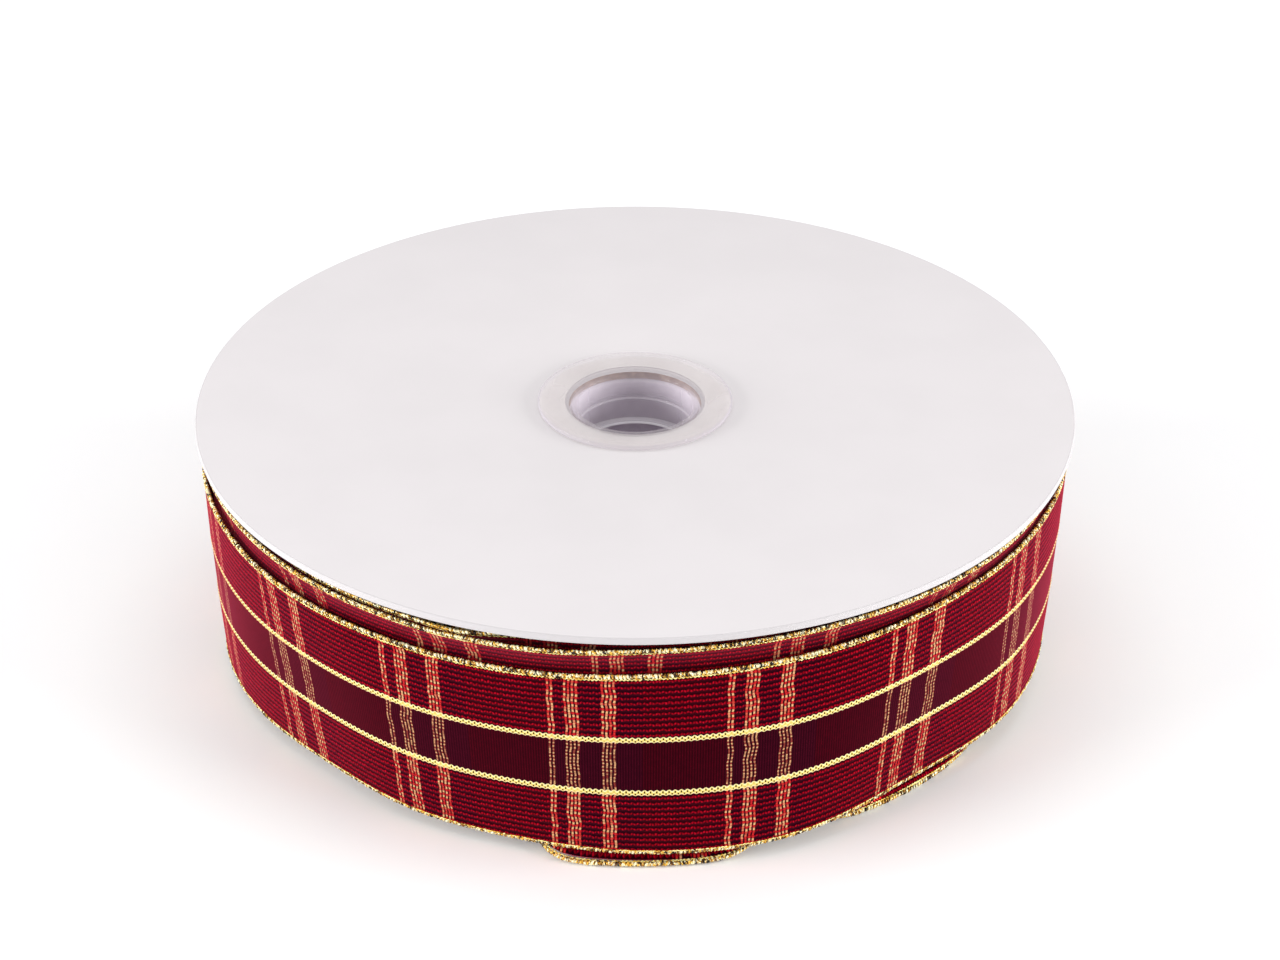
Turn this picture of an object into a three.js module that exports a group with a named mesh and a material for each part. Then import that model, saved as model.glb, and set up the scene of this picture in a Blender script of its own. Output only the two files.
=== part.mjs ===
// Ribbon spool: two card flanges, a card core tube and two hub plugs, wound with wired gift ribbon.
// Millimetres, +Z up. The origin is on the spool's axis, level with the surface that the spool lies on.
// +X is to the right and -Y is the front. The ribbon's free end lies at the back.

import * as THREE from 'three';

// Heights are stacked from the lower hub plug's rim at z = 0 to the upper one's rim.
const RIM_THICKNESS = 0.9;
const CARD_THICKNESS = 1.5;
const CORE_LENGTH = 48;
const GAP = 0.3;
const LOWER_FLANGE_Z = RIM_THICKNESS + GAP;
const CORE_Z = LOWER_FLANGE_Z + CARD_THICKNESS + GAP;
const UPPER_FLANGE_Z = CORE_Z + CORE_LENGTH + GAP;
const TOTAL_HEIGHT = UPPER_FLANGE_Z + CARD_THICKNESS + GAP + RIM_THICKNESS;

// Radii of the spool's own pieces, from the spindle bore outwards.
const BORE_RADIUS = 11.25;
const BORE_STEP = 0.2;
const SLEEVE_RADIUS = 12.45;
const SLEEVE_CHAMFER = 0.4;
const CORE_INNER_RADIUS = 12.75;
const CORE_OUTER_RADIUS = 15;
const FLANGE_BORE_RADIUS = 12.8;
const RIM_RADIUS = 18.8;
const LOWER_FLANGE_RADIUS = 72;
const UPPER_FLANGE_RADIUS = 85;

// Hub plug details: the rim's face is dished towards a mouth that curves down into the bore.
const SLEEVE_LENGTH = 11.5;
const BORE_STEP_DEPTH = 6.2;
const RIM_ROUNDING = 0.3;
const DISH_RADIUS = 17;
const DISH_DEPTH = 0.35;
const MOUTH_RADIUS = 13.4;
const MOUTH_DEPTH = 1.6;
const MOUTH_STEPS = 3;
const CARD_EDGE_ROUNDING = 0.25;

// Ribbon: a band with a wired edging along each long side.
const RIBBON_WIDTH = 41.2;
const BAND_THICKNESS = 0.5;
const EDGING_HEIGHT = 0.9;
const EDGING_THICKNESS = 0.8;

// The slack turns, each with its foot's height above the table and its outer radius at foot and head.
// The flare is how far the head leans out over the turn outside it, above the height given.
const OUTER_TURN = { footZ: 2.4, footRadius: 78.6, headRadius: 82.4, flare: 0, flareFromZ: 0 };
const SECOND_TURN = { footZ: 8, footRadius: 78.3, headRadius: 81.7, flare: 1.9, flareFromZ: 43.8 };
const THIRD_TURN = { footZ: 0.3, footRadius: 76.8, headRadius: 79.4, flare: 0, flareFromZ: 0 };
const FOURTH_TURN = { footZ: 8.8, footRadius: 76.3, headRadius: 79, flare: 3.1, flareFromZ: 42 };

// The tight inner turns, as one ring that rests on the lower flange.
const INNER_TURNS = {
  footZ: CORE_Z,
  innerRadius: 16.2,
  footRadius: 75,
  headRadius: 77.4,
};

// The strip of tape that holds the ribbon's inner end to the core.
const TAPE = { innerRadius: 15.3, thickness: 0.4, height: 30, startDeg: 200, spanDeg: 70 };

// The free end lies over the outer turn at the back, and swings out about its root.
const FREE_END = { offset: 1.15, startDeg: 62, spanDeg: 40, steps: 14 };

const CARD_SIDES = 96;
const RING_SIDES = 60;
const PLUG_SIDES = 48;

const radians = THREE.MathUtils.degToRad;

// Each mesh has a material of its own.
const FINISHES = {
  whiteCard: { color: 0xefecec, roughness: 0.6, metalness: 0 },
  coreCard: { color: 0xa39ba4, roughness: 0.9, metalness: 0 },
  clearPlastic: { color: 0xb9b6c0, roughness: 0.15, metalness: 0, transparent: true, opacity: 0.6 },
  wovenBand: { color: 0x7d1220, roughness: 0.75, metalness: 0 },
  goldEdging: { color: 0xb99a58, roughness: 0.4, metalness: 0.6 },
  tape: { color: 0xd8cfae, roughness: 0.35, metalness: 0 },
};

const spool = new THREE.Group();

function addPiece(name, geometry, finish) {
  const piece = new THREE.Mesh(geometry, new THREE.MeshStandardMaterial(FINISHES[finish]));
  piece.name = name;
  spool.add(piece);
  return piece;
}

// A ring about +Z from a section given as [radius, z] points, anticlockwise with the radius to the right.
function ring(section, sides) {
  const points = [...section, section[0]].map(([radius, z]) => new THREE.Vector2(radius, z));
  return new THREE.LatheGeometry(points, sides).rotateX(Math.PI / 2);
}

// A disc with a hole, its two outer edges slightly rounded off.
function cardFlange(outerRadius) {
  const rounded = CARD_EDGE_ROUNDING;
  return ring(
    [
      [FLANGE_BORE_RADIUS, 0],
      [outerRadius - rounded, 0],
      [outerRadius, rounded],
      [outerRadius, CARD_THICKNESS - rounded],
      [outerRadius - rounded, CARD_THICKNESS],
      [FLANGE_BORE_RADIUS, CARD_THICKNESS],
    ],
    CARD_SIDES,
  );
}

function coreTube() {
  return ring(
    [
      [CORE_INNER_RADIUS, 0],
      [CORE_OUTER_RADIUS, 0],
      [CORE_OUTER_RADIUS, CORE_LENGTH],
      [CORE_INNER_RADIUS, CORE_LENGTH],
    ],
    PLUG_SIDES,
  );
}

// The mouth's quarter oval, from the bore up to the dished face.
function mouthPoints() {
  const points = [];
  for (let step = MOUTH_STEPS; step >= 0; step -= 1) {
    const turn = (step / MOUTH_STEPS) * (Math.PI / 2);
    const radius = MOUTH_RADIUS - (MOUTH_RADIUS - BORE_RADIUS) * Math.sin(turn);
    points.push([radius, MOUTH_DEPTH - (MOUTH_DEPTH - DISH_DEPTH) * Math.cos(turn)]);
  }
  return points;
}

// A flanged sleeve: the rim's face at z = 0, then the sleeve that reaches up into the core.
function hubPlug() {
  return ring(
    [
      ...mouthPoints(),
      [DISH_RADIUS, 0],
      [RIM_RADIUS - RIM_ROUNDING, 0],
      [RIM_RADIUS, RIM_ROUNDING],
      [RIM_RADIUS, RIM_THICKNESS],
      [SLEEVE_RADIUS, RIM_THICKNESS],
      [SLEEVE_RADIUS, SLEEVE_LENGTH - SLEEVE_CHAMFER],
      [SLEEVE_RADIUS - SLEEVE_CHAMFER, SLEEVE_LENGTH],
      [BORE_RADIUS - BORE_STEP, SLEEVE_LENGTH],
      [BORE_RADIUS - BORE_STEP, BORE_STEP_DEPTH],
      [BORE_RADIUS, BORE_STEP_DEPTH - BORE_STEP],
    ],
    PLUG_SIDES,
  );
}

// The outer radius of a slack turn at a height above the table.
function turnRadius(turn, z) {
  const share = (z - turn.footZ) / RIBBON_WIDTH;
  const lean = turn.footRadius + share * (turn.headRadius - turn.footRadius);
  const headZ = turn.footZ + RIBBON_WIDTH;
  const flareShare = turn.flare ? Math.max(0, (z - turn.flareFromZ) / (headZ - turn.flareFromZ)) : 0;
  return lean + flareShare * turn.flare;
}

// The heights at which a stretch of ribbon changes piece: lower edging, band, upper edging.
function ribbonHeights(footZ) {
  const headZ = footZ + RIBBON_WIDTH;
  return {
    lowerEdging: [footZ, footZ + EDGING_HEIGHT],
    band: [footZ + EDGING_HEIGHT + GAP, headZ - EDGING_HEIGHT - GAP],
    upperEdging: [headZ - EDGING_HEIGHT, headZ],
  };
}

function turnBand(turn) {
  const [low, high] = ribbonHeights(turn.footZ).band;
  const levels = turn.flare ? [low, turn.flareFromZ, high] : [low, high];
  const outside = levels.map((z) => [turnRadius(turn, z), z]);
  const inside = levels.map((z) => [turnRadius(turn, z) - BAND_THICKNESS, z]).reverse();
  return ring([...outside, ...inside], RING_SIDES);
}

function turnEdging(turn, [low, high]) {
  const middle = turnRadius(turn, (low + high) / 2) - BAND_THICKNESS / 2;
  return ring(
    [
      [middle - EDGING_THICKNESS / 2, low],
      [middle + EDGING_THICKNESS / 2, low],
      [middle + EDGING_THICKNESS / 2, high],
      [middle - EDGING_THICKNESS / 2, high],
    ],
    RING_SIDES,
  );
}

function addTurn(name, turn) {
  const heights = ribbonHeights(turn.footZ);
  addPiece(`${name}_band`, turnBand(turn), 'wovenBand');
  addPiece(`${name}_lower_edging`, turnEdging(turn, heights.lowerEdging), 'goldEdging');
  addPiece(`${name}_upper_edging`, turnEdging(turn, heights.upperEdging), 'goldEdging');
}

// One layer of the inner turns, between two heights.
function innerTurnsLayer([low, high]) {
  const { innerRadius, footZ, footRadius, headRadius } = INNER_TURNS;
  const radiusAt = (z) => footRadius + ((z - footZ) / RIBBON_WIDTH) * (headRadius - footRadius);
  return ring(
    [
      [innerRadius, low],
      [radiusAt(low), low],
      [radiusAt(high), high],
      [innerRadius, high],
    ],
    RING_SIDES,
  );
}

function addInnerTurns() {
  const heights = ribbonHeights(INNER_TURNS.footZ);
  addPiece('inner_turns_band', innerTurnsLayer(heights.band), 'wovenBand');
  addPiece('inner_turns_lower_edging', innerTurnsLayer(heights.lowerEdging), 'goldEdging');
  addPiece('inner_turns_upper_edging', innerTurnsLayer(heights.upperEdging), 'goldEdging');
}

// A curved strip that stands on z = 0, between two radii and two directions about the axis.
function curvedStrip(innerRadius, thickness, height, startDeg, spanDeg, steps) {
  const shape = new THREE.Shape();
  const start = radians(startDeg);
  const end = radians(startDeg + spanDeg);
  shape.absarc(0, 0, innerRadius + thickness, start, end, false);
  shape.absarc(0, 0, innerRadius, end, start, true);
  return new THREE.ExtrudeGeometry(shape, { depth: height, bevelEnabled: false, curveSegments: steps });
}

// Moves each point of a strip in or out, so that it leans as the outer turn does.
function leanWithOuterTurn(geometry, lowZ, builtRadius) {
  const places = geometry.attributes.position;
  for (let i = 0; i < places.count; i += 1) {
    const radius = Math.hypot(places.getX(i), places.getY(i));
    const shift = turnRadius(OUTER_TURN, lowZ + places.getZ(i)) - builtRadius;
    const scale = (radius + shift) / radius;
    places.setXY(i, places.getX(i) * scale, places.getY(i) * scale);
  }
  return geometry;
}

function freeEndLayer([low, high], thickness) {
  const middle = OUTER_TURN.headRadius + FREE_END.offset - BAND_THICKNESS / 2;
  const strip = curvedStrip(
    middle - thickness / 2,
    thickness,
    high - low,
    FREE_END.startDeg,
    FREE_END.spanDeg,
    FREE_END.steps,
  );
  return leanWithOuterTurn(strip, low, OUTER_TURN.headRadius);
}

function addFreeEnd() {
  const heights = ribbonHeights(OUTER_TURN.footZ);
  const layers = [
    ['free_end_band', heights.band, BAND_THICKNESS, 'wovenBand'],
    ['free_end_lower_edging', heights.lowerEdging, EDGING_THICKNESS, 'goldEdging'],
    ['free_end_upper_edging', heights.upperEdging, EDGING_THICKNESS, 'goldEdging'],
  ];
  for (const [name, levels, thickness, finish] of layers) {
    addPiece(name, freeEndLayer(levels, thickness), finish).position.z = levels[0];
  }
}

function addSpool() {
  addPiece('core_tube', coreTube(), 'coreCard').position.z = CORE_Z;
  addPiece('lower_flange', cardFlange(LOWER_FLANGE_RADIUS), 'whiteCard').position.z = LOWER_FLANGE_Z;
  addPiece('upper_flange', cardFlange(UPPER_FLANGE_RADIUS), 'whiteCard').position.z = UPPER_FLANGE_Z;
  addPiece('lower_hub_plug', hubPlug(), 'clearPlastic');
  const upperPlug = addPiece('upper_hub_plug', hubPlug(), 'clearPlastic');
  upperPlug.position.z = TOTAL_HEIGHT;
  upperPlug.rotation.x = Math.PI;
}

function addTape() {
  const { innerRadius, thickness, height, startDeg, spanDeg } = TAPE;
  const strip = curvedStrip(innerRadius, thickness, height, startDeg, spanDeg, 16);
  addPiece('inner_end_tape', strip, 'tape').position.z = CORE_Z + (CORE_LENGTH - height) / 2;
}

addSpool();
addTape();
addInnerTurns();
addTurn('fourth_turn', FOURTH_TURN);
addTurn('third_turn', THIRD_TURN);
addTurn('second_turn', SECOND_TURN);
addTurn('outer_turn', OUTER_TURN);
addFreeEnd();

export default spool;
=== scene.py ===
"""Looks of a ribbon spool: wired plaid ribbon in slack turns on a card spool with clear plastic plugs."""

import math

import bpy
import numpy as np
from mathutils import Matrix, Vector


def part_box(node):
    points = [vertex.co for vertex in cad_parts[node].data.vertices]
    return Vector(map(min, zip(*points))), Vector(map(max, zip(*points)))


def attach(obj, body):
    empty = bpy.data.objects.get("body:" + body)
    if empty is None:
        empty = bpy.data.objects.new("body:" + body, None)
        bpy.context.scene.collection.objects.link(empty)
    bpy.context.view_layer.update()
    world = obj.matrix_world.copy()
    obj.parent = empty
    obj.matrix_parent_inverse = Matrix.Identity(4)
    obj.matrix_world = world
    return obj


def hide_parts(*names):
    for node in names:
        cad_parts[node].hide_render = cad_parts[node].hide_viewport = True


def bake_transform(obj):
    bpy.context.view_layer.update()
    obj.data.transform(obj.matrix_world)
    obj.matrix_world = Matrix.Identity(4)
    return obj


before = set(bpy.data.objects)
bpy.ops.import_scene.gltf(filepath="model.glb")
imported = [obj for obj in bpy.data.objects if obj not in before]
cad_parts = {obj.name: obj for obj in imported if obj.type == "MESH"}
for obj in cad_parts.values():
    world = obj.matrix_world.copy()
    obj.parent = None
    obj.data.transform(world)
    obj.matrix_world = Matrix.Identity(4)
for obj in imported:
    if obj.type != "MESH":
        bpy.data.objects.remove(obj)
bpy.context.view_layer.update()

MM = 0.001

# ---------------------------------------------------------------- driving sizes, in millimetres and degrees

# Azimuths are measured from the front, -Y, and grow towards +X. The ribbon winds outwards that way.
ROOT_AZIMUTH = 150.0  # where each slack turn ends and the next one out begins
FREE_END_SPAN = 42.0
TURN_BLEND = 45.0  # how far to each side of the root one turn's shape passes into the next one's

EDGE_TO_EDGE = 40.2  # across the ribbon, between the middles of its edgings
BAND_HALF_THICKNESS = 0.16
BAND_MARGIN = 0.35  # the band's own edge lies this far inside its edging's middle
LINE_PLACES = (14.15, 26.25)  # the two gold lines, from the upper edging
LINE_HALF_WIDTH = 0.52
RIB_PITCH = 1.2
RIB_DEPTH = 0.09
PLAID_REPEAT = 32.5
NAVY_LENGTH = 17.3  # how much of each repeat is navy instead of wine
CHAIN_PITCH = 1.12  # of the gold lines' weave
COLUMN_PITCH = 0.7  # of the metallic threads in a stripe
STRIPE_STARTS = (0.0, 3.15, 9.8)  # of the three stripes, from the start of each repeat
STRIPE_THREADS = (2, 4, 4)

EDGING_ACROSS = 0.44  # half the height of the stitched edging
EDGING_OUT = 0.3  # half its thickness
STITCH_PITCH = 0.7
STITCH_YARNS = ((0, 0.0, 1, 0.44), (1, 0.4, -1, 0.2))  # kind, phase in turns, hand and width of each
CHAIN_KIND = 2
WIRE_KIND = 3

# Spacing of the mesh's points along the ribbon and across it.
ALONG_STEP = 2.4
FINE_ACROSS = 0.24
COARSE_ACROSS = 0.4
FREE_END_ALONG = 1.6
INNER_ALONG = 5.5
INNER_ACROSS = 5.0
INNER_EDGING_ALONG = 2.6

FLANGE_BORE = 12.8
CORE_BORE = 12.75
CORE_SEAM_RISE = 40.0  # in one turn of the tube's spiral seam
CORE_SEAM_DEPTH = 0.18
TAPE_RADII = (15.3, 15.7)
TAPE_AZIMUTHS = (200, 270)  # from +X, towards +Y

# Where a plug's plastic changes its look: distances from the axis for its mouth and edge, which carry
# painted shade, and from the face of its rim for the rest, where the step and end carry painted highlight
# lines.
PLUG_MOUTH = (11.2, 13.55)
PLUG_EDGE = (18.45, 18.7)
PLUG_SLEEVE = (1.3, 1.8)
PLUG_STEP = (5.9, 6.35)
PLUG_END = (11.1, 11.7)

# Camera: lens and sensor, degrees above the horizon, and distance from the point that it is aimed at, which
# lies off the middle of the upper flange's face.
LENS = 123.3
SENSOR_WIDTH = 36.0
CAMERA_ELEVATION = 30.32
CAMERA_DISTANCE = 850.0
CAMERA_AIM_RIGHT = 0.95
CAMERA_AIM_DOWN = 14.8

rng = np.random.default_rng(7)


def top_of(node):
    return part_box(node)[1].z / MM


def foot_of(node):
    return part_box(node)[0].z / MM


def middle_z(node):
    return (top_of(node) + foot_of(node)) / 2


def radius_of(node):
    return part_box(node)[1].x / MM


# ---------------------------------------------------------------- mesh helpers


def millimetre_mesh(name, points, faces, uv):
    """A mesh object from points in millimetres and quads. uv holds one pair for each face corner."""
    mesh = bpy.data.meshes.new(name)
    mesh.from_pydata((np.asarray(points, float) * MM).tolist(), [], faces)
    layer = mesh.uv_layers.new(name="Thread")
    layer.data.foreach_set("uv", np.asarray(uv, np.float32).ravel())
    mesh.polygons.foreach_set("use_smooth", [True] * len(mesh.polygons))
    mesh.update()
    piece = bpy.data.objects.new(name, mesh)
    bpy.context.scene.collection.objects.link(piece)
    return piece


def signed_volume(points, quads):
    a, b, c, d = (points[quads[:, i]] for i in range(4))
    volume = np.einsum("ij,ij->i", a, np.cross(b, c)) + np.einsum("ij,ij->i", a, np.cross(c, d))
    return volume.sum() / 6


def skinned_loops(loops, uv, along_closed=False):
    """Points, quads and corner uvs of a tube through closed loops, shape (stations, around, 3).
    uv has one more column than the loops have points, so that the seam keeps its own value."""
    stations, around, _ = loops.shape
    points = loops.reshape(-1, 3)
    last = stations if along_closed else stations - 1
    i, j = np.meshgrid(np.arange(last), np.arange(around), indexing="ij")
    i, j = i.ravel(), j.ravel()
    i_next, j_next = (i + 1) % stations, (j + 1) % around
    quads = np.stack(
        [i * around + j, i * around + j_next, i_next * around + j_next, i_next * around + j], 1
    )
    uv_next = i + 1 if along_closed else i_next
    corners = np.stack([uv[i, j], uv[i, j + 1], uv[uv_next, j + 1], uv[uv_next, j]], 1)
    if signed_volume(points, quads) < 0:
        quads, corners = quads[:, ::-1], corners[:, ::-1]
    return points, quads, corners


def joined(parts):
    """One set of points, quads and corners from several."""
    points, quads, corners = [], [], []
    start = 0
    for part_points, part_quads, part_corners in parts:
        points.append(part_points)
        quads.append(part_quads + start)
        corners.append(part_corners)
        start += len(part_points)
    return np.concatenate(points), np.concatenate(quads), np.concatenate(corners)


def lathe(name, section, sides):
    """A ring or disc about +Z from a closed section of (radius, z) points.
    u runs round it in degrees and v along the section."""
    section = np.asarray(section, float)
    turn = np.linspace(0, 2 * math.pi, sides, endpoint=False)
    loops = np.empty((sides, len(section), 3))
    loops[..., 0] = np.cos(turn)[:, None] * section[:, 0]
    loops[..., 1] = np.sin(turn)[:, None] * section[:, 0]
    loops[..., 2] = section[:, 1]
    steps = np.linalg.norm(np.diff(np.vstack([section, section[:1]]), axis=0), axis=1)
    along = np.concatenate([[0], np.cumsum(steps)])
    uv = np.empty((sides + 1, len(section) + 1, 2))
    uv[..., 0] = np.linspace(0, 360, sides + 1)[:, None]
    uv[..., 1] = along
    points, quads, corners = skinned_loops(loops, uv, along_closed=True)
    return millimetre_mesh(name, points, quads.tolist(), corners)


def rounded_section(corners, radius, steps):
    """A closed polygon section with its corners rounded. A corner's third number is its own radius."""
    out = []
    count = len(corners)
    for k, corner in enumerate(corners):
        here = np.array(corner[:2], float)
        size = corner[2] if len(corner) > 2 else radius
        before = np.array(corners[k - 1][:2], float) - here
        after = np.array(corners[(k + 1) % count][:2], float) - here
        cut = min(size, 0.49 * np.linalg.norm(before), 0.49 * np.linalg.norm(after))
        if cut < 1e-4:
            out.append(tuple(here))
            continue
        first = here + before / np.linalg.norm(before) * cut
        last = here + after / np.linalg.norm(after) * cut
        for t in np.linspace(0, 1, steps + 1):
            out.append(tuple((1 - t) ** 2 * first + 2 * t * (1 - t) * here + t * t * last))
    return out


def place(piece, body, slot, material, *nodes):
    """Gives a new piece its body and material, and hides the CAD nodes that it stands for. slot is not
    used.
    """
    piece.data.materials.clear()
    for each in material if isinstance(material, (list, tuple)) else (material,):
        piece.data.materials.append(each)
    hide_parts(*nodes)
    if body:
        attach(piece, body)
    return piece


# ---------------------------------------------------------------- the ribbon's shape


def hump(angle, centre, width):
    return np.exp(-0.5 * ((angle - centre) / width) ** 2)


def stretch_of(angle, start, end, soft):
    """About 1 between two azimuths and 0 outside them."""
    return 0.5 * (np.tanh((angle - start) / soft) - np.tanh((angle - end) / soft))


FRONT_HEAD_RADIUS = radius_of("outer_turn_upper_edging") - 0.2
FRONT_HEAD_Z = middle_z("outer_turn_upper_edging") - 0.2
FOOT_RADIUS = radius_of("outer_turn_lower_edging") + 1.5
SECOND_HEAD_Z = middle_z("second_turn_upper_edging") + 0.35
THIRD_FOOT_Z = middle_z("third_turn_lower_edging") - 0.08
FOURTH_HEAD_Z = middle_z("fourth_turn_upper_edging") - 0.35
INNER_FOOT_Z = middle_z("inner_turns_lower_edging") + 0.2
SECOND_HEAD_RADIUS = 83.0
THIRD_FOOT_RADIUS = 76.1
FOURTH_HEAD_RADIUS = 79.4

# First and last azimuth of the stretches where a turn lies differently.
SECOND_ON_LEFT = (-170, -4)
SECOND_ON_RIGHT = (18, 175)
THIRD_IN_FRONT = (-13.6, 16.6)
THIRD_ON_RIGHT = (28, 58)
FOURTH_SEEN = (-54, -19)

# Where the outer turn's foot is pressed in, or bulges: azimuth, width and depth.
FOOT_DENTS = ((-48, 14, 4.0), (-17, 13, 2.3), (18, 9, -0.5), (42, 12, 2.5), (112, 20, 1.8), (-128, 22, 1.6))

# How far inside the outer turn each one lies: the free end, which is outside it, then the outer, second,
# third and fourth turn, then the first of the inner turns.
TURN_DEPTHS = (-1.2, 0.0, 1.5, 3.0, 3.9, 4.8)
SLACK_TURNS = 4
INNER_TURNS = 57
INNER_PITCH = 1.03
FLARE_RISE = 5.3  # height of the part of a turn that leans out at its head or foot


def wrapped(total):
    return (total + 180.0) % 360.0 - 180.0


def outer_surface(azimuth):
    """The outer turn's head and foot at each azimuth: (head radius, head z, foot radius, foot z, bulge)."""
    turn = np.radians(azimuth)
    sideways = np.sin(turn) ** 2
    at_front = np.clip(np.cos(turn) + 0.6, 0, 1)
    waver = 0.16 * np.sin(7 * turn + 0.6) + 0.1 * np.sin(12 * turn + 2.1)
    head_radius = FRONT_HEAD_RADIUS + 1.4 * sideways + 0.4 * waver
    head_z = FRONT_HEAD_Z + 1.7 * np.sin(turn) + 2.45 * sideways * at_front + 0.1 * np.sin(9 * turn + 1.0)
    foot_radius = FOOT_RADIUS + 1.0 * sideways + waver
    for centre, width, depth in FOOT_DENTS:
        foot_radius = foot_radius - depth * hump(azimuth, centre, width)
    foot_z = head_z - np.sqrt(EDGE_TO_EDGE**2 - (head_radius - foot_radius) ** 2)
    bulge = 0.12 + 0.45 * (1 - np.cos(turn)) / 2
    return head_radius, head_z, foot_radius, foot_z, bulge


def surface_radius(azimuth, z):
    """The outer turn's radius at each height, continued straight above its head and below its foot."""
    head_radius, head_z, foot_radius, foot_z, bulge = outer_surface(azimuth)
    share = (z - foot_z) / (head_z - foot_z)
    inside = np.clip(share, 0, 1)
    return foot_radius + share * (head_radius - foot_radius) + 4 * bulge * inside * (1 - inside)


def lean_to(radius, azimuth, z, depth):
    """How far a turn must lean from its own depth to reach that radius at that height."""
    return radius - (surface_radius(azimuth, z) - depth)


def turn_shape(number, azimuth):
    """A slack turn's own values at each azimuth: depth, head z, foot z, head flare, foot flare."""
    _, outer_head_z, _, outer_foot_z, _ = outer_surface(azimuth)
    turn = np.radians(azimuth)
    depth = np.full_like(azimuth, TURN_DEPTHS[number])
    none = np.zeros_like(azimuth)
    if number <= 1:
        return np.stack([depth, outer_head_z, outer_foot_z, none, none])
    if number == 2:
        # Its head stands above the outer turn's.
        on_left = stretch_of(azimuth, *SECOND_ON_LEFT, 7)
        on_right = stretch_of(azimuth, *SECOND_ON_RIGHT, 10)
        head_z = SECOND_HEAD_Z - 0.25 * on_left + 0.4 * on_right - 0.4 * hump(azimuth, -26, 5)
        head_z = head_z - 0.5 * hump(azimuth, -13, 7)
        head_radius = SECOND_HEAD_RADIUS + 0.7 * on_left + 0.4 * on_right + 0.15 * np.sin(8 * turn + 0.8)
        flare = lean_to(head_radius, azimuth, head_z, depth)
        return np.stack([depth, head_z, head_z - EDGE_TO_EDGE + 0.7, flare, none])
    if number == 3:
        # Its foot shows below the outer turn's in two stretches.
        in_front = stretch_of(azimuth, *THIRD_IN_FRONT, 3.0)
        on_right = stretch_of(azimuth, *THIRD_ON_RIGHT, 3.0)
        foot_z = THIRD_FOOT_Z + 3.1 * (1 - np.clip(in_front + on_right, 0, 1))
        foot_radius = surface_radius(azimuth, foot_z) - depth
        seen_radius = THIRD_FOOT_RADIUS + 4.2 * in_front
        flare = np.clip(in_front + on_right, 0, 1) * (seen_radius - foot_radius)
        return np.stack([depth, foot_z + EDGE_TO_EDGE - 0.6, foot_z, none, flare])
    if number == 4:
        # Its head shows over the second turn's in one stretch.
        seen = stretch_of(azimuth, *FOURTH_SEEN, 4)
        head_z = FOURTH_HEAD_Z - 0.5 * (1 - seen)
        head_radius = FOURTH_HEAD_RADIUS + 3.2 * seen + 0.9 * hump(azimuth, -22, 4)
        flare = lean_to(head_radius, azimuth, head_z, depth)
        return np.stack([depth, head_z, head_z - EDGE_TO_EDGE + 1.2, flare, none])
    foot_z = INNER_FOOT_Z + 0.25 * np.sin(3 * turn)
    return np.stack([depth, foot_z + EDGE_TO_EDGE - 0.1, foot_z, none, none])


def ribbon_shape(total):
    """The values of turn_shape along the whole ribbon, at total azimuths counted on from turn to turn."""
    azimuth = wrapped(total)
    from_root = (ROOT_AZIMUTH - total) / 360.0  # below 0 on the free end, 0 to 1 on the outer turn
    nearest = np.clip(np.round(from_root), 0, SLACK_TURNS).astype(int)
    past_root = (nearest - from_root) * 360.0
    share = np.clip((past_root + TURN_BLEND) / (2 * TURN_BLEND), 0, 1)
    share = share * share * (3 - 2 * share)
    values = np.empty((5, len(total)))
    for number in range(SLACK_TURNS + 1):
        here = nearest == number
        if here.any():
            inner = turn_shape(number + 1, azimuth[here])
            outer = turn_shape(number, azimuth[here])
            values[:, here] = inner + (outer - inner) * share[here]
    depth_in_pack = np.maximum(from_root - SLACK_TURNS, 0)
    values[0] += depth_in_pack * INNER_PITCH * (from_root > SLACK_TURNS + TURN_BLEND / 360.0)
    return values, depth_in_pack


def ribbon_points(total, across):
    """Points of the ribbon's middle surface, shape (stations, across, 3). across runs from 0 at the
    upper edging's middle to EDGE_TO_EDGE at the lower one's."""
    (depth, head_z, foot_z, head_flare, foot_flare), depth_in_pack = ribbon_shape(total)
    azimuth = wrapped(total)
    share = 1 - np.asarray(across, float) / EDGE_TO_EDGE
    z = foot_z[:, None] + share[None, :] * (head_z - foot_z)[:, None]
    base = surface_radius(azimuth[:, None], z)
    middle = FRONT_HEAD_RADIUS - 1.4
    settled = np.clip(1 - depth_in_pack / INNER_TURNS, 0, 1)[:, None] ** 2
    radius = middle + settled * (base - middle) - depth[:, None]
    over = np.clip((z - (head_z - FLARE_RISE)[:, None]) / FLARE_RISE, 0, 1.2)
    under = np.clip(((foot_z + FLARE_RISE)[:, None] - z) / FLARE_RISE, 0, 1.2)
    # A foot that flares out is also pinched in just above.
    kick = under**4 - 0.6 * np.sin(math.pi * np.clip(under, 0, 1)) ** 2
    radius = radius + head_flare[:, None] * over**1.5 + foot_flare[:, None] * kick
    turn = np.radians(azimuth)[:, None]
    return np.stack([np.sin(turn) * radius, -np.cos(turn) * radius, z], -1)


def unit(vectors):
    return vectors / np.linalg.norm(vectors, axis=-1, keepdims=True)


def station_frames(total, across):
    """Middle surface points with unit vectors along the ribbon, down across it and out from the spool."""
    step = 0.05
    here = ribbon_points(total, across)
    along = unit(ribbon_points(total + step, across) - ribbon_points(total - step, across))
    down = unit(np.gradient(here, np.asarray(across, float), axis=1))
    out = unit(np.cross(down, along))
    return here, along, down, out


# Where the thin stripe of the plaid starts on the outer and second turns.
OUTER_STRIPE_AZIMUTH = -11.25
SECOND_STRIPE_AZIMUTH = -5.5


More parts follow.
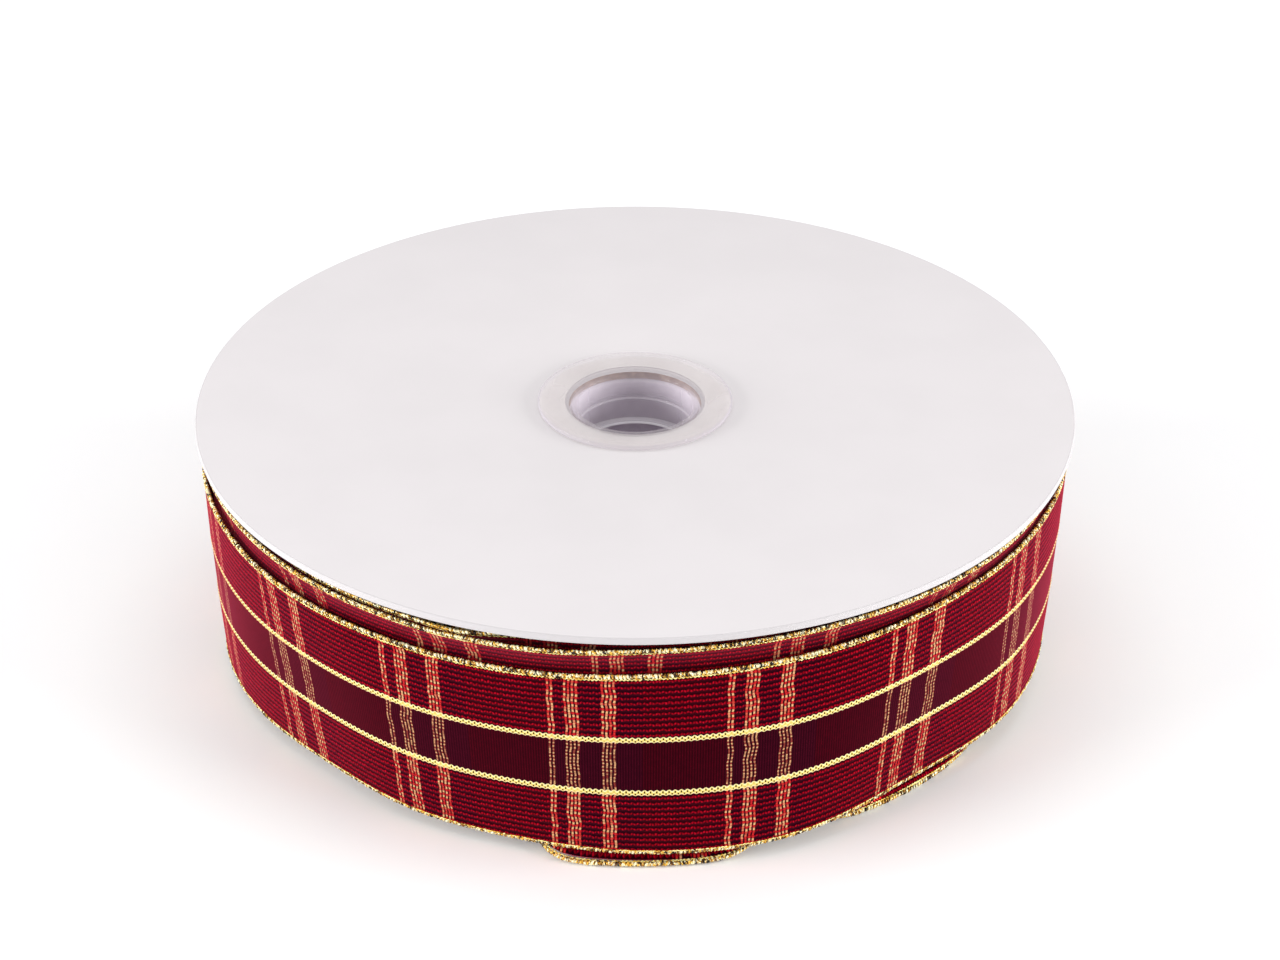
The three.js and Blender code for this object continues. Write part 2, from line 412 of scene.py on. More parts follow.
def thread_lengths():
    """Arc length along the ribbon's middle, with the plaid's place on the two outer turns worked in."""
    start = ROOT_AZIMUTH - 360.0 * (SLACK_TURNS + INNER_TURNS)
    total = np.arange(start, ROOT_AZIMUTH + FREE_END_SPAN + 1, 0.5)
    middle = ribbon_points(total, [EDGE_TO_EDGE / 2])[:, 0]
    steps = np.linalg.norm(np.diff(middle, axis=0), axis=1)
    length = np.concatenate([[0], np.cumsum(steps)])

    def shift_to(place):
        return -np.interp(place, total, length) % PLAID_REPEAT

    outer = shift_to(OUTER_STRIPE_AZIMUTH)
    second = shift_to(SECOND_STRIPE_AZIMUTH - 360.0)
    change = (outer - second + PLAID_REPEAT / 2) % PLAID_REPEAT - PLAID_REPEAT / 2
    eased = np.clip((total - (ROOT_AZIMUTH - 360.0 - 60.0)) / 120.0, 0, 1)
    return total, length, length + second + change * eased * eased * (3 - 2 * eased)


THREAD_TOTALS, PLAIN_LENGTHS, PLAID_LENGTHS = thread_lengths()


def plaid_length(total):
    return np.interp(total, THREAD_TOTALS, PLAID_LENGTHS)


def ribbon_length(first, last):
    start = np.interp(first, THREAD_TOTALS, PLAIN_LENGTHS)
    end = np.interp(last, THREAD_TOTALS, PLAIN_LENGTHS)
    return float(end - start)


def rib_relief(across):
    """Height of the woven ribs and gold lines above the band's face."""
    across = np.asarray(across, float)
    ribs = RIB_DEPTH * (0.5 + 0.5 * np.cos(2 * math.pi * across / RIB_PITCH))
    in_centre = (across > LINE_PLACES[0]) & (across < LINE_PLACES[1])
    relief = np.where(in_centre, 0.0, ribs)
    for place_across in LINE_PLACES:
        on_line = np.clip(1 - (np.abs(across - place_across) / LINE_HALF_WIDTH) ** 4, 0, 1)
        relief = np.maximum(relief, 0.14 * on_line)
    return relief


def band_piece(name, first, last, along_step, across_step):
    """A closed woven band between two total azimuths, ribbed on both faces."""
    stations = max(3, int(round(ribbon_length(first, last) / along_step)) + 1)
    total = np.linspace(first, last, stations)
    columns = int(round((EDGE_TO_EDGE - 2 * BAND_MARGIN) / across_step)) + 1
    across = np.linspace(BAND_MARGIN, EDGE_TO_EDGE - BAND_MARGIN, columns)
    here, _, _, out = station_frames(total, across)
    lift = (BAND_HALF_THICKNESS + rib_relief(across))[None, :, None]
    front = here + out * lift
    back = here - out * lift
    loops = np.concatenate([front, back[:, ::-1]], axis=1)
    around = loops.shape[1]
    uv = np.empty((stations, around + 1, 2))
    uv[..., 0] = plaid_length(total)[:, None]
    uv[:, :columns, 1] = across
    uv[:, columns:around, 1] = across[::-1]
    uv[:, around, 1] = across[0]
    points, quads, corners = skinned_loops(loops, uv)
    # The band's two cut ends, as one row of quads between its faces.
    ends = []
    end_corners = []
    j = np.arange(columns - 1)
    for station, flip in ((0, False), (stations - 1, True)):
        base = station * around
        rows = np.stack([base + j, base + j + 1, base + around - 2 - j, base + around - 1 - j], 1)
        texture = np.stack([uv[station, j], uv[station, j + 1], uv[station, j + 1], uv[station, j]], 1)
        outward = np.cross(
            points[rows[:, 1]] - points[rows[:, 0]], points[rows[:, 3]] - points[rows[:, 0]]
        ).sum(0)
        middle = here[station].mean(0)
        inward = here[1 if station == 0 else -2].mean(0) - middle
        if outward @ inward > 0:
            rows, texture = rows[:, ::-1], texture[:, ::-1]
        ends.append(rows)
        end_corners.append(texture)
    quads = np.concatenate([quads, *ends])
    corners = np.concatenate([corners, *end_corners])
    return millimetre_mesh(name, points, quads.tolist(), corners)


# ---------------------------------------------------------------- the gold edging


def edge_frames(total, side):
    """Middle line of the upper or lower edging, with unit vectors along, off the band and out."""
    place_across = 0.0 if side == "upper" else EDGE_TO_EDGE
    pair = [place_across, place_across + 0.5] if side == "upper" else [place_across - 0.5, place_across]
    here, along, down, out = station_frames(total, pair)
    k = 0 if side == "upper" else 1
    off = -down[:, k] if side == "upper" else down[:, k]
    return here[:, k], along[:, k], off, out[:, k]


def yarn_tube(centres, flat_way, width, thickness, uv_start, kind):
    """A flat yarn, four points round, along a line of centres. v runs from its kind number to the next."""
    along = unit(np.gradient(centres, axis=0))
    side = unit(flat_way - along * np.einsum("ij,ij->i", flat_way, along)[:, None])
    thin = np.cross(along, side)
    width = np.broadcast_to(width, len(centres))[:, None] / 2
    thickness = np.broadcast_to(thickness, len(centres))[:, None] / 2
    wide_way = side * width
    thin_way = thin * thickness
    loops = np.stack([centres + wide_way, centres + thin_way, centres - wide_way, centres - thin_way], 1)
    steps = np.concatenate([[0], np.cumsum(np.linalg.norm(np.diff(centres, axis=0), axis=1))])
    uv = np.empty((len(centres), 5, 2))
    uv[..., 0] = (uv_start + steps)[:, None]
    uv[..., 1] = kind + np.linspace(0.001, 0.999, 5)
    return skinned_loops(loops, uv)


def smooth_noise(count, spacing, strength):
    """Random values that change smoothly over about that many samples."""
    knots = rng.normal(0, strength, int(count / spacing) + 4)
    return np.interp(np.arange(count) / spacing, np.arange(len(knots)), knots)


def stitched_edging(name, first, last, side, per_stitch):
    """Overlock stitches round a covered wire: a wrapping yarn, a crossing yarn and a chain on each face."""
    length = ribbon_length(first, last)
    stitches = length / STITCH_PITCH
    count = int(stitches * per_stitch)
    total = np.linspace(first, last, count)
    line, along, off, out = edge_frames(total, side)
    start = float(plaid_length(np.array([first]))[0])
    parts = []
    for kind, phase, hand, wide in STITCH_YARNS:
        turn = 2 * math.pi * (np.linspace(0, stitches, count) * hand + phase)
        turn = turn + smooth_noise(count, per_stitch * 1.1, 0.5)
        across = EDGING_ACROSS * (1 + smooth_noise(count, per_stitch * 1.3, 0.14))
        outward = EDGING_OUT * (1 + smooth_noise(count, per_stitch * 1.3, 0.2))
        centres = (
            line
            + off * (across * np.cos(turn) - 0.06)[:, None]
            + out * (outward * np.sin(turn))[:, None]
        )
        width = wide * (1 + smooth_noise(count, per_stitch * 0.8, 0.3))
        parts.append(yarn_tube(centres, along, np.clip(width, 0.1, 0.6), 0.22, start, kind))
    for face in (1, -1):
        sway = np.linspace(0, stitches, count) * 2 * math.pi
        centres = (
            line
            - off * (EDGING_ACROSS + 0.02 + 0.08 * np.sin(sway + face))[:, None]
            + out * (face * (BAND_HALF_THICKNESS + 0.15 + 0.05 * np.cos(sway)))[:, None]
        )
        width = 0.28 * (1 + smooth_noise(count, per_stitch, 0.25))
        parts.append(yarn_tube(centres, off, np.clip(width, 0.14, 0.42), 0.14, start, CHAIN_KIND))
    every = slice(None, None, 4)
    parts.append(wire_core(line[every], off[every], out[every], start))
    points, quads, corners = joined(parts)
    return millimetre_mesh(name, points, quads.tolist(), corners)


def wire_core(line, off, out, uv_start, across=0.34, outward=0.2, sides=6):
    """The covered wire inside the stitches, as an oval tube."""
    turn = np.linspace(0, 2 * math.pi, sides, endpoint=False)
    loops = (
        line[:, None]
        + off[:, None] * (across * np.cos(turn))[None, :, None]
        + out[:, None] * (outward * np.sin(turn))[None, :, None]
    )
    steps = np.concatenate([[0], np.cumsum(np.linalg.norm(np.diff(line, axis=0), axis=1))])
    uv = np.empty((len(line), sides + 1, 2))
    uv[..., 0] = (uv_start + steps)[:, None]
    uv[..., 1] = WIRE_KIND + np.linspace(0.001, 0.999, sides + 1)
    return skinned_loops(loops, uv)


def plain_edging(name, first, last, side, along_step):
    """The inner turns' edging: a lumpy oval tube, since its stitches can't be seen one by one."""
    count = int(ribbon_length(first, last) / along_step)
    total = np.linspace(first, last, count)
    line, _, off, out = edge_frames(total, side)
    start = float(plaid_length(np.array([first]))[0])
    lumps = 1 + smooth_noise(count, 1.5, 0.08)[:, None]
    points, quads, corners = wire_core(line, off * lumps, out * lumps, start, 0.5, 0.3)
    return millimetre_mesh(name, points, quads.tolist(), corners)


# ---------------------------------------------------------------- materials


def linear(red, green, blue):
    """A linear colour from everyday 0 to 255 values."""
    def one(value):
        value /= 255
        return value / 12.92 if value <= 0.04045 else ((value + 0.055) / 1.055) ** 2.4

    return (one(red), one(green), one(blue), 1.0)


class Shading:
    """Builds one material's nodes. A value may be a number, a colour or another node's output."""

    def __init__(self, name):
        self.material = bpy.data.materials.new(name)
        self.material.use_nodes = True
        self.tree = self.material.node_tree
        self.surface = self.tree.nodes["Principled BSDF"]

    def put(self, socket, value):
        if isinstance(value, bpy.types.NodeSocket):
            self.tree.links.new(value, socket)
        else:
            socket.default_value = value

    def node(self, kind, inputs=None, **settings):
        made = self.tree.nodes.new(kind)
        for key, value in settings.items():
            setattr(made, key, value)
        for key, value in (inputs or {}).items():
            self.put(made.inputs[key], value)
        return made

    def math(self, operation, a, b=0.0, c=0.0, clamp=False):
        made = self.node("ShaderNodeMath", {0: a, 1: b, 2: c}, operation=operation, use_clamp=clamp)
        return made.outputs[0]

    def thread_place(self):
        """The millimetres along the thread and across it."""
        uv = self.node("ShaderNodeUVMap", uv_map="Thread")
        split = self.node("ShaderNodeSeparateXYZ", {0: uv.outputs[0]})
        return split.outputs[0], split.outputs[1]

    def ease(self, value, low, high, to_low=0.0, to_high=1.0):
        made = self.node(
            "ShaderNodeMapRange",
            {0: value, 1: low, 2: high, 3: to_low, 4: to_high},
            interpolation_type="SMOOTHSTEP",
        )
        return made.outputs[0]

    def between(self, value, low, high, soft):
        rising = self.ease(self.math("SUBTRACT", value, low), -soft, soft)
        falling = self.ease(self.math("SUBTRACT", value, high), -soft, soft, 1.0, 0.0)
        return self.math("MULTIPLY", rising, falling)

    def wave(self, value, pitch):
        """From 1 down to 0 and back over each pitch, starting from a value of 0."""
        cosine = self.math("COSINE", self.math("MULTIPLY", value, 2 * math.pi / pitch))
        return self.math("MULTIPLY_ADD", cosine, 0.5, 0.5)

    def mix(self, share, a, b):
        made = self.node("ShaderNodeMix", data_type="RGBA")
        self.put(made.inputs[0], share)
        self.put(made.inputs[6], a)
        self.put(made.inputs[7], b)
        return made.outputs[2]

    def noise(self, vector, scale, detail):
        made = self.node("ShaderNodeTexNoise", {"Vector": vector, "Scale": scale, "Detail": detail})
        return made.outputs[0]

    def vector(self, x, y, z=0.0):
        return self.node("ShaderNodeCombineXYZ", {0: x, 1: y, 2: z}).outputs[0]

    def thread_noise(self, u, v, along, across, detail):
        """Noise with its own scale along the thread and across it."""
        place = self.vector(self.math("MULTIPLY", u, along), self.math("MULTIPLY", v, across))
        return self.noise(place, 1.0, detail)

    def centred(self, value, amount):
        """A value between 0 and 1 made to run from half the amount below 0 to half above."""
        return self.math("MULTIPLY", self.math("SUBTRACT", value, 0.5), amount)

    def place_on_piece(self):
        """The piece's own coordinates, in metres."""
        return self.node("ShaderNodeTexCoord").outputs["Object"]

    def from_axis(self, place):
        """Distance from the spool's axis, and height, both in metres."""
        x, y, z = self.node("ShaderNodeSeparateXYZ", {0: place}).outputs
        squares = self.math("ADD", self.math("MULTIPLY", x, x), self.math("MULTIPLY", y, y))
        return self.math("SQRT", squares), z

    def random_cell(self, x, y):
        """A random value for each whole-number cell."""
        cell = self.vector(self.math("FLOOR", x), self.math("FLOOR", y))
        return self.node("ShaderNodeTexWhiteNoise", {"Vector": cell}, noise_dimensions="2D").outputs[0]

    def bump(self, height, strength, distance):
        made = self.node("ShaderNodeBump", {"Strength": strength, "Distance": distance, "Height": height})
        return made.outputs[0]

    def finish(self, **sockets):
        for key, value in sockets.items():
            self.put(self.surface.inputs[key.replace("_", " ")], value)
        return self.material


def stripe_places(s, drifted):
    """Where the stripes are, and each place counted in threads from its stripe's first one."""
    stripes = 0.0
    for start, threads in zip(STRIPE_STARTS, STRIPE_THREADS):
        stripe = s.between(drifted, start, start + threads * COLUMN_PITCH, 0.06)
        stripes = s.math("ADD", stripe, stripes)
    column = s.math("DIVIDE", drifted, COLUMN_PITCH)
    for before, start in zip(STRIPE_STARTS, STRIPE_STARTS[1:]):
        past = s.math("GREATER_THAN", drifted, start - 0.5)
        threads_apart = (start - before) / COLUMN_PITCH
        slip = math.ceil(threads_apart) - threads_apart
        column = s.math("ADD", column, s.math("MULTIPLY", past, slip))
    return stripes, column


def red_weave(s, u, v, navy, jitter):
    """Rows of red stitches, each row in a fine zigzag, over a near black ground: colour and height."""
    zigzag = s.math("MULTIPLY", s.wave(u, CHAIN_PITCH), 0.18)
    rib = s.wave(s.math("ADD", s.math("ADD", v, zigzag), s.centred(jitter, 0.5)), RIB_PITCH)
    stitch = s.wave(s.math("ADD", u, s.math("MULTIPLY", jitter, 0.3)), CHAIN_PITCH / 2)
    glow = s.math("MULTIPLY", s.ease(rib, 0.5, 1.0), s.ease(stitch, 0.1, 0.9, 0.3, 1.0))
    patch = s.thread_noise(u, v, 2.2, 1.6, 2.0)
    glow = s.math("MULTIPLY", glow, s.ease(patch, 0.25, 0.75, 0.7, 1.15), clamp=True)
    glow = s.math("MULTIPLY", glow, s.ease(navy, 0.0, 1.0, 1.0, 0.9))
    ground = s.mix(navy, linear(28, 0, 5), linear(18, 0, 8))
    threads = s.mix(s.ease(patch, 0.3, 0.8), linear(140, 2, 15), linear(190, 10, 36))
    return s.mix(glow, ground, threads), glow


def centre_weave(s, u, navy, jitter):
    """A plain weave with a fine cross rib: colour and height."""
    fine = s.wave(u, 0.5)
    plain = s.mix(navy, linear(62, 1, 13), linear(54, 4, 20))
    plain_dark = s.mix(navy, linear(18, 0, 4), linear(14, 0, 7))
    lit = s.math("MULTIPLY", fine, s.ease(jitter, 0.2, 0.8, 0.5, 1.0))
    return s.mix(lit, plain_dark, plain), fine


def metallic_dashes(s, u, v, column, centre):
    """Metallic threads in short floats: where they lie, their colour and a random value for each.
    Over a red rib the float is salmon, between ribs it is pale gold."""
    repeat = s.math("MULTIPLY", s.math("FLOOR", s.math("DIVIDE", u, PLAID_REPEAT)), 57.0)
    thread = s.math("ADD", column, repeat)
    stagger = s.centred(s.random_cell(thread, 0.0), 0.5)
    floats = s.math("MULTIPLY", v, s.ease(centre, 0.0, 1.0, 2 / RIB_PITCH, 3 / RIB_PITCH))
    float_place = s.math("ADD", s.math("ADD", floats, 0.5), stagger)
    dash = s.between(s.math("FRACT", float_place), 0.06, 0.94, 0.08)
    thin = s.ease(centre, 0.0, 1.0, 0.24, 0.29)
    across_thread = s.between(s.math("FRACT", column), thin, s.math("SUBTRACT", 1.0, thin), 0.09)
    glint = s.random_cell(thread, float_place)
    between_ribs = s.math("FLOORED_MODULO", s.math("FLOOR", float_place), 2.0)
    pale = s.math("ADD", s.math("MULTIPLY", between_ribs, 0.4), s.math("MULTIPLY", glint, 0.7))
    over_red = s.mix(s.ease(pale, 0.45, 0.75), linear(196, 40, 38), linear(224, 172, 122))
    over_centre = s.mix(s.ease(pale, 0.4, 0.75), linear(134, 54, 44), linear(216, 166, 118))
    return s.math("MULTIPLY", dash, across_thread), s.mix(centre, over_red, over_centre), glint


def gold_lines(s, u, v, stripes):
    """Two chains that weave from side to side: where they lie, their colour and their holes.
    The holes are in two staggered rows, and nearly filled where a stripe crosses."""
    swayed = s.math("ADD", v, s.centred(s.wave(u, CHAIN_PITCH), 0.26))
    upper, lower = LINE_PLACES
    lines = s.math(
        "ADD",
        s.between(swayed, upper - LINE_HALF_WIDTH, upper + LINE_HALF_WIDTH, 0.08),
        s.between(swayed, lower - LINE_HALF_WIDTH, lower + LINE_HALF_WIDTH, 0.08),
    )
    hole_place = s.math("ADD", v, s.centred(s.wave(u, CHAIN_PITCH), 0.46))
    off_middle = s.math(
        "MINIMUM",
        s.math("ABSOLUTE", s.math("SUBTRACT", hole_place, upper)),
        s.math("ABSOLUTE", s.math("SUBTRACT", hole_place, lower)),
    )
    along_hole = s.ease(s.wave(u, CHAIN_PITCH / 2), 0.3, 0.65)
    hole = s.math("MULTIPLY", s.ease(off_middle, 0.13, 0.28, 1.0, 0.0), along_hole)
    hole = s.math("MULTIPLY", hole, s.ease(stripes, 0.0, 1.0, 1.0, 0.25))
    rim_light = s.ease(off_middle, 0.2, 0.5)
    chain = s.mix(rim_light, linear(232, 212, 118), linear(248, 238, 184))
    return lines, s.mix(hole, chain, linear(50, 35, 10)), hole


def woven_band_material():
    """Plaid of ribbed red bands, a plain centre, two gold lines and stripes of metallic dashes."""
    s = Shading("woven_band")
    u, v = s.thread_place()
    place_in_repeat = s.math("FLOORED_MODULO", u, PLAID_REPEAT)
    drift = s.thread_noise(u, v, 0.09, 0.3, 1.0)
    stripes, column = stripe_places(s, s.math("ADD", place_in_repeat, s.centred(drift, 0.9)))
    centre = s.between(v, LINE_PLACES[0], LINE_PLACES[1], 0.1)
    navy = s.between(place_in_repeat, 0.0, NAVY_LENGTH, 0.2)
    jitter = s.thread_noise(u, v, 0.8, 0.85, 3.0)

    red_band, glow = red_weave(s, u, v, navy, jitter)
    centre_band, fine = centre_weave(s, u, navy, jitter)
    dash, dash_colour, glint = metallic_dashes(s, u, v, column, centre)
    lines, chain, hole = gold_lines(s, u, v, stripes)

    dashes = s.math("MULTIPLY", stripes, dash)
    colour = s.mix(centre, red_band, centre_band)
    colour = s.mix(dashes, colour, dash_colour)
    colour = s.mix(lines, colour, chain)
    shine = s.math("MAXIMUM", dashes, s.math("MULTIPLY", lines, 0.3))
    relief = s.mix(centre, s.vector(glow, 0.0), s.vector(fine, 0.0))
    relief = s.mix(dashes, relief, s.vector(glint, 0.0))
    relief = s.mix(lines, relief, s.vector(s.math("SUBTRACT", 1.0, hole), 0.0))
    return s.finish(
        Base_Color=colour,
        Metallic=s.math("MULTIPLY", shine, 0.5),
        Roughness=s.ease(shine, 0.0, 1.0, 0.7, 0.36),
        Normal=s.bump(relief, 0.5, 0.0001),
        Specular_IOR_Level=0.0,
        Sheen_Weight=0.9,
        Sheen_Roughness=0.38,
        Sheen_Tint=linear(255, 92, 120),
    )


def gold_edging_material():
    """Metallic overlock yarn: blobs of gold and brown, with painted glints in white gold and painted shade
    in black between the stitches, and a chain in a warmer tone.
    """
    s = Shading("gold_edging")
    u, v = s.thread_place()
    kind = s.math("FLOOR", v)
    on_chain = s.math("COMPARE", kind, float(CHAIN_KIND), 0.5)
    blob_length = s.ease(on_chain, 0.0, 1.0, 1 / 0.8, 1 / 0.55)
    blob = s.random_cell(s.math("MULTIPLY", u, blob_length), kind)
    fleck = s.random_cell(s.math("DIVIDE", u, 0.36), s.math("MULTIPLY", v, 4.0))
    drift = s.noise(s.vector(s.math("MULTIPLY", u, 0.35), kind), 1.0, 2.0)
    shade = s.math("ADD", s.math("MULTIPLY", blob, 0.72), s.math("MULTIPLY", fleck, 0.28))
    shade = s.math("ADD", shade, s.centred(drift, 0.5))
    shade = s.math("ADD", shade, s.math("MULTIPLY", on_chain, 0.1))
    # painted shade: the darkest blobs are near black, for the crevices and dark reflections between
    # stitches
    brown = s.mix(s.ease(shade, 0.24, 0.32), linear(14, 9, 3), linear(144, 88, 14))
    gold = s.mix(s.ease(shade, 0.36, 0.44), brown, linear(240, 188, 66))
    # painted highlight: the palest blobs are white gold on the yarns and pale yellow on the chain, as
    # glints of the metal
    pale = s.mix(on_chain, linear(255, 250, 208), linear(252, 240, 158))
    colour = s.mix(s.ease(shade, 0.56, 0.64), gold, pale)
    crinkle = s.thread_noise(u, v, 3.0, 4.0, 2.0)
    return s.finish(
        Base_Color=colour,
        Metallic=0.25,
        Roughness=s.ease(crinkle, 0.3, 0.7, 0.18, 0.36),
        Normal=s.bump(crinkle, 0.3, 0.0002),
    )


def white_card_material():
    """Smooth coated card with a faint mottle, and painted shade on the upper disc's rounded rim and cut
    side, which would otherwise catch a bright band of light.
    """
    s = Shading("white_card")
    spot = s.place_on_piece()
    mottle = s.noise(spot, 60.0, 3.0)
    fibre = s.noise(spot, 900.0, 2.0)
    radius, _ = s.from_axis(spot)
    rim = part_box("upper_flange")[1].x
    # painted shade: the rim's rounded edge and cut side are greyed so that they don't show as a bright band
    painted_edge_shade = s.ease(radius, rim - 0.4 * MM, rim - 0.15 * MM)
    colour = s.mix(s.ease(mottle, 0.3, 0.7), linear(227, 222, 223), linear(229, 224, 225))
    colour = s.mix(painted_edge_shade, colour, linear(197, 193, 194))
    return s.finish(
        Base_Color=colour,
        Roughness=s.ease(fibre, 0.3, 0.7, 0.5, 0.58),
        Normal=s.bump(fibre, 0.08, 0.0001),
        Specular_IOR_Level=0.3,
    )


def fibrous_card_material(name, dark, pale):
    """Cut or uncoated card: fibre in thin plies."""
    s = Shading(name)
    spot = s.place_on_piece()
    _, _, height = s.node("ShaderNodeSeparateXYZ", {0: spot}).outputs
    fibre = s.noise(spot, 700.0, 4.0)
    plies = s.noise(s.vector(0.0, 0.0, s.math("MULTIPLY", height, 9000.0)), 1.0, 2.0)
    tone = s.math("ADD", s.math("MULTIPLY", fibre, 0.6), s.math("MULTIPLY", plies, 0.4))
    return s.finish(
        Base_Color=s.mix(s.ease(tone, 0.35, 0.65), dark, pale),
        Roughness=0.9,
        Normal=s.bump(tone, 0.4, 0.0002),
        Specular_IOR_Level=0.2,
    )


def clear_plastic_material():
    """Clear moulded plastic: nearly colourless rim, painted shade on the curved mouth and the rim's outer
    edge, and a faintly lavender sleeve with painted highlight lines at its step and end.
    """
    s = Shading("clear_plastic")
    facing = s.node("ShaderNodeLayerWeight", {"Blend": 0.3}).outputs["Facing"]
    spot = s.place_on_piece()
    radius, z = s.from_axis(spot)
    middle = (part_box("lower_hub_plug")[0].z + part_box("upper_hub_plug")[1].z) / 2
    depth = s.math("SUBTRACT", middle, s.math("ABSOLUTE", s.math("SUBTRACT", z, middle)))
    in_sleeve = s.ease(depth, PLUG_SLEEVE[0] * MM, PLUG_SLEEVE[1] * MM)
    in_mouth = s.between(radius, PLUG_MOUTH[0] * MM, PLUG_MOUTH[1] * MM, 0.12 * MM)
    at_edge = s.ease(radius, PLUG_EDGE[0] * MM, PLUG_EDGE[1] * MM)
    at_step = s.between(depth, PLUG_STEP[0] * MM, PLUG_STEP[1] * MM, 0.1 * MM)
    at_end = s.between(depth, PLUG_END[0] * MM, PLUG_END[1] * MM, 0.1 * MM)
    flow = s.noise(spot, 130.0, 2.0)
    sleeve = s.mix(s.ease(flow, 0.3, 0.7), linear(242, 233, 242), linear(246, 238, 246))
    # painted highlight: light lines on the sleeve at its inner step and at its end, as the edges of clear
    # plastic glow
    painted_glow = s.math("MAXIMUM", at_end, s.math("MULTIPLY", at_step, 0.3))
    sleeve = s.mix(painted_glow, sleeve, linear(255, 252, 255))
    rim = s.mix(s.ease(flow, 0.3, 0.7), linear(236, 228, 227), linear(243, 236, 235))
    # painted shade: the mouth that curves into the bore is greyer and the rim's outer edge darker, as they
    # lie in shade
    rim = s.mix(in_mouth, rim, linear(196, 188, 193))
    rim = s.mix(at_edge, rim, linear(204, 196, 208))
    clear = s.ease(facing, 0.0, 0.9, 0.18, 0.62)
    denser = s.math("MAXIMUM", s.math("MULTIPLY", at_end, 0.95), s.math("MULTIPLY", at_step, 0.4))
    return s.finish(
        Base_Color=s.mix(in_sleeve, rim, sleeve),
        Roughness=s.ease(flow, 0.3, 0.7, 0.1, 0.16),
        Alpha=s.math("MAXIMUM", clear, denser),
        Normal=s.bump(flow, 0.1, 0.0003),
        Coat_Weight=0.3,
        Coat_Roughness=0.08,
    )


def tape_material():
    """Yellowed adhesive tape."""
    s = Shading("tape")
    spot = s.place_on_piece()
    streak = s.noise(spot, 220.0, 3.0)
    return s.finish(
        Base_Color=s.mix(streak, linear(206, 190, 138), linear(226, 214, 170)),
        Roughness=s.ease(streak, 0.3, 0.7, 0.25, 0.4),
        Alpha=0.8,
        Normal=s.bump(streak, 0.1, 0.0002),
    )


def floor_material():
    """A white tabletop, lit from within a little as a light table is."""
    s = Shading("floor")
    grain = s.noise(s.place_on_piece(), 40.0, 2.0)
    return s.finish(
        Base_Color=s.mix(grain, linear(250, 250, 251), linear(252, 252, 252)),
        Roughness=0.9,
        Specular_IOR_Level=0.1,
        Emission_Color=linear(255, 254, 255),
        Emission_Strength=0.07,
    )


WOVEN = woven_band_material()
GOLD = gold_edging_material()
CARD = white_card_material()
CUT_CARD = fibrous_card_material("cut_card", linear(132, 100, 84), linear(176, 146, 126))
CORE_CARD = fibrous_card_material("core_card", linear(224, 215, 226), linear(236, 228, 237))
PLASTIC = clear_plastic_material()
TAPE = tape_material()


# ---------------------------------------------------------------- the ribbon's pieces


def turn_span(number):
    """First and last total azimuth of a slack turn, 1 being the outer one."""
    last = ROOT_AZIMUTH - 360.0 * (number - 1)
    return last - 360.0, last


def add_slack_turn(number, name, across_step, per_stitch):
    first, last = turn_span(number)
    band = band_piece(f"{name}_woven", first, last, ALONG_STEP, across_step)
    place(band, "wound_core", "woven_band", WOVEN, f"{name}_band")
    for side in ("upper", "lower"):
        edging = stitched_edging(f"{name}_{side}_stitching", first, last, side, per_stitch)
        place(edging, "wound_core", "gold_edging", GOLD, f"{name}_{side}_edging")


def add_inner_turns():
    first = ROOT_AZIMUTH - 360.0 * (SLACK_TURNS + INNER_TURNS)
    last = ROOT_AZIMUTH - 360.0 * SLACK_TURNS
    band = band_piece("inner_turns_woven", first, last, INNER_ALONG, INNER_ACROSS)
    place(band, "wound_core", "woven_band", WOVEN, "inner_turns_band")
    for side in ("upper", "lower"):
        edging = plain_edging(f"inner_turns_{side}_stitching", first, last, side, INNER_EDGING_ALONG)
        place(edging, "wound_core", "gold_edging", GOLD, f"inner_turns_{side}_edging")


def add_free_end():
    """The loose end of the ribbon, which stands a little out from the outer turn past its root."""
    first, last = ROOT_AZIMUTH, ROOT_AZIMUTH + FREE_END_SPAN
    root = ribbon_points(np.array([first]), [EDGE_TO_EDGE / 2])[0, 0] * MM
    bent = ribbon_points(np.array([first + 12.0]), [EDGE_TO_EDGE / 2])[0, 0] * MM
    bent[2] = root[2]
    band = band_piece("free_end_woven", first, last, FREE_END_ALONG, FINE_ACROSS)
    pieces = [(band, "woven_band", WOVEN, "free_end_band")]
    for side in ("upper", "lower"):
        edging = stitched_edging(f"free_end_{side}_stitching", first, last, side, 8)
        pieces.append((edging, "gold_edging", GOLD, f"free_end_{side}_edging"))
    for piece, slot, material, node in pieces:
        place(piece, None, slot, material, node)
        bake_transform(piece)


# ---------------------------------------------------------------- the spool's pieces


def add_flange(node, body):
    """A coated card disc with a pressed, slightly rounded rim and a brown cut edge round its hole."""
    low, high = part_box(node)
    outer = high.x / MM
    bottom, top = low.z / MM, high.z / MM
    corners = [
        (FLANGE_BORE, bottom, 0.08),
        (outer, bottom, 0.4),
        (outer, top, 0.4),
        (FLANGE_BORE, top, 0.08),
    ]
    section = rounded_section(corners, 0.3, 5)
    disc = lathe(f"{node}_card", section, 256)
    place(disc, body, "white_card", (CARD, CUT_CARD), node)
    for polygon in disc.data.polygons:
        if polygon.center.xy.length < (FLANGE_BORE + 0.06) * MM:
            polygon.material_index = 1


